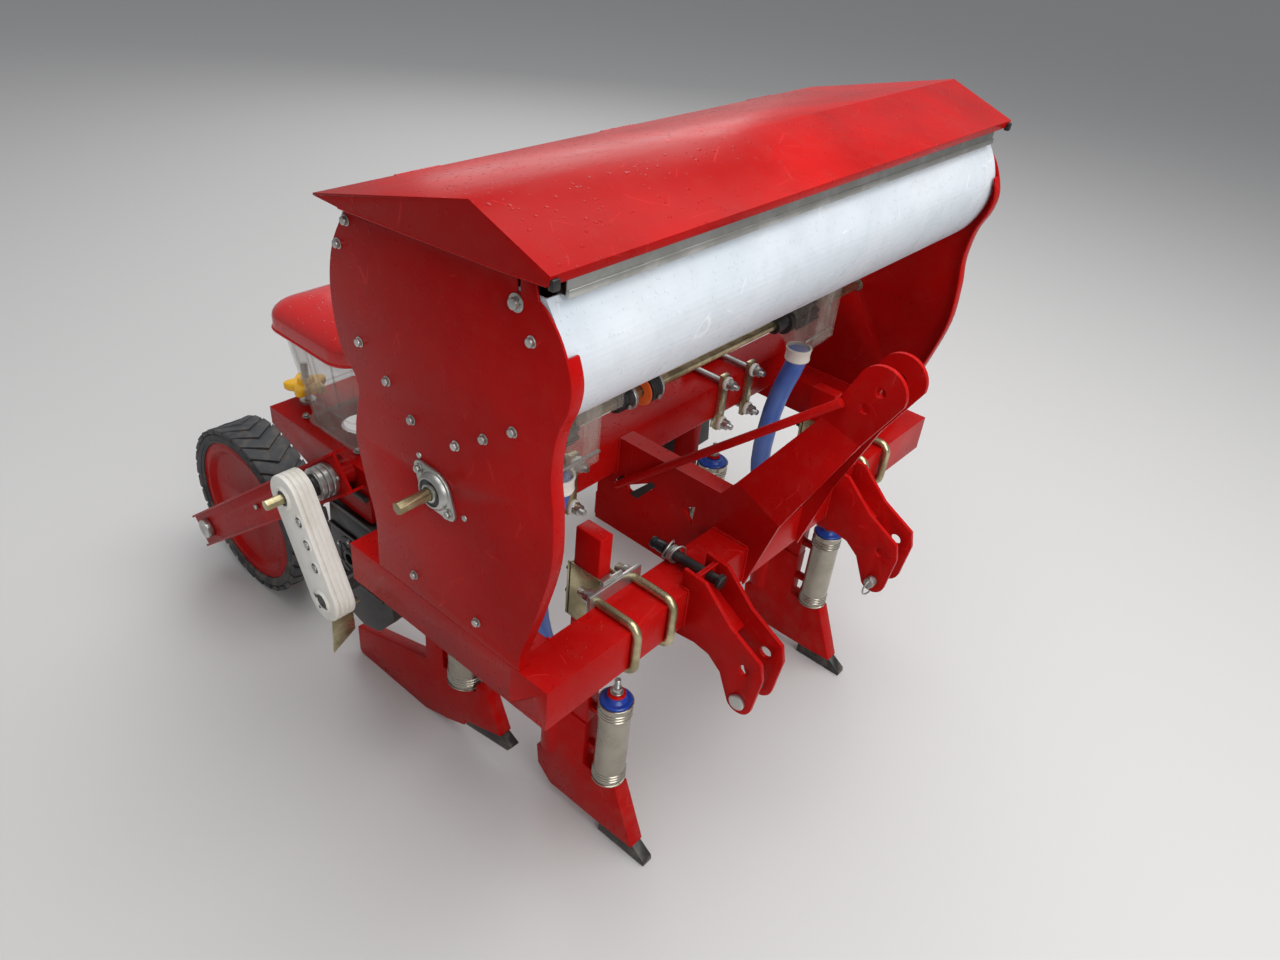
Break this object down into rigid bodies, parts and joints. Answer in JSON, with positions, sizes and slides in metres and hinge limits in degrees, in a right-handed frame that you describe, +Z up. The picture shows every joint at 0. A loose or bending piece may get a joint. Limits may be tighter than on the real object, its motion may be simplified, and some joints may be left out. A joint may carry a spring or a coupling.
{
  "type": "seed drill",
  "caption": "Tractor-mounted row seed drill with a gabled fertiliser hopper, clear seed boxes, red frame, openers and chevron press wheels.",
  "frame": {"origin": "on the ground, under the middle of the machine's bounding box", "axes": "X runs across the machine, Y from the hitch at the front to the press wheels at the rear, Z up"},
  "size_m": [1.328, 1.5638, 1.293],
  "materials": {
    "red_paint": "gloss red powder coat",
    "red_lid": "gloss moulded red plastic",
    "pale_trough": "pale grey sheet, wet",
    "zinc": "bright zinc plate",
    "gold_zinc": "yellow zinc plate",
    "clear_box": "smoky clear plastic",
    "black_plastic": "moulded black plastic",
    "black_steel": "black oxide, scuffed",
    "blue_hose": "soft translucent blue plastic",
    "blue_cap": "moulded blue plastic",
    "yellow_knob": "moulded yellow plastic",
    "cream_case": "moulded off-white plastic",
    "tyre_rubber": "matt rubber"
  },
  "bodies": {
    "chassis": {"front_beam": "red_paint", "side_arm_right": "red_paint", "side_arm_left": "red_paint", "rear_beam": "red_paint", "mast_plate_right": "red_paint", "mast_plate_left": "red_paint", "mast_brace": "red_paint", "link_ears_right": "red_paint", "link_ears_left": "red_paint", "link_pins": "zinc", "spare_pin": "black_steel", "hopper_end_right": "red_paint", "hopper_end_left": "red_paint", "hopper_trough": "pale_trough", "lid_bar": "zinc", "lid_hinges": "red_paint", "meter_right": "clear_box", "meter_left": "clear_box", "shaft_bearings": "zinc", "hose_right": "blue_hose", "hose_left": "blue_hose", "fert_shank_right": "red_paint", "fert_shank_left": "red_paint", "fert_boot_right": "red_paint", "fert_boot_left": "red_paint", "fert_points": "black_steel", "fert_canisters": "zinc", "canister_caps": "blue_cap", "shank_clamps": "zinc", "unit_frame_right": "red_paint", "unit_frame_left": "red_paint", "unit_clamps": "zinc", "seed_box_right": "clear_box", "seed_box_left": "clear_box", "seed_meter_right": "black_plastic", "seed_meter_left": "black_plastic", "depth_screws": "yellow_knob", "wheel_arms_right": "red_paint", "wheel_arms_left": "red_paint", "shaft_hub_right": "zinc", "shaft_hub_left": "zinc", "chain_case_right": "cream_case", "chain_case_left": "cream_case", "seed_opener_right": "red_paint", "seed_opener_left": "red_paint", "seed_points": "black_steel", "seed_canisters": "zinc"},
    "wheel_right": {"wheel_disc_right": "red_paint", "wheel_tyre_right": "tyre_rubber"},
    "wheel_left": {"wheel_disc_left": "red_paint", "wheel_tyre_left": "tyre_rubber"},
    "hopper_cover": {"hopper_lid": "red_paint"},
    "seed_cover_right": {"seed_lid_right": "red_lid"},
    "seed_cover_left": {"seed_lid_left": "red_lid"},
    "meter_rotor": {"meter_shaft": "gold_zinc", "meter_rollers": "black_plastic", "rate_bushes": "black_plastic"},
    "drive_rotor_right": {"drive_shaft_right": "gold_zinc"},
    "drive_rotor_left": {"drive_shaft_left": "gold_zinc"}
  },
  "joints": [
    {"name": "wheel_right_spin", "type": "hinge", "parent": "chassis", "child": "wheel_right", "pos_m": [-0.397, 0.572, 0.21], "axis": [1, 0, 0], "continuous": true},
    {"name": "wheel_left_spin", "type": "hinge", "parent": "chassis", "child": "wheel_left", "pos_m": [0.397, 0.572, 0.21], "axis": [1, 0, 0], "continuous": true},
    {"name": "hopper_cover_hinge", "type": "hinge", "parent": "chassis", "child": "hopper_cover", "pos_m": [0, -0.131, 1.204], "axis": [-1, 0, 0], "range_deg": [0, 100]},
    {"name": "seed_cover_right_hinge", "type": "hinge", "parent": "chassis", "child": "seed_cover_right", "pos_m": [-0.397, 0.242, 0.852], "axis": [-1, 0, 0], "range_deg": [0, 95]},
    {"name": "seed_cover_left_hinge", "type": "hinge", "parent": "chassis", "child": "seed_cover_left", "pos_m": [0.397, 0.242, 0.852], "axis": [-1, 0, 0], "range_deg": [0, 95]},
    {"name": "meter_shaft_spin", "type": "hinge", "parent": "chassis", "child": "meter_rotor", "pos_m": [0, -0.356, 0.839], "axis": [1, 0, 0], "continuous": true},
    {"name": "drive_shaft_right_spin", "type": "hinge", "parent": "chassis", "child": "drive_rotor_right", "pos_m": [-0.55, 0.027, 0.633], "axis": [1, 0, 0], "continuous": true},
    {"name": "drive_shaft_left_spin", "type": "hinge", "parent": "chassis", "child": "drive_rotor_left", "pos_m": [0.55, 0.027, 0.633], "axis": [1, 0, 0], "continuous": true}
  ],
  "couplings": [
    {"joint": "drive_shaft_right_spin", "follows": "wheel_right_spin", "ratio": 1},
    {"joint": "drive_shaft_left_spin", "follows": "wheel_left_spin", "ratio": 1}
  ]
}
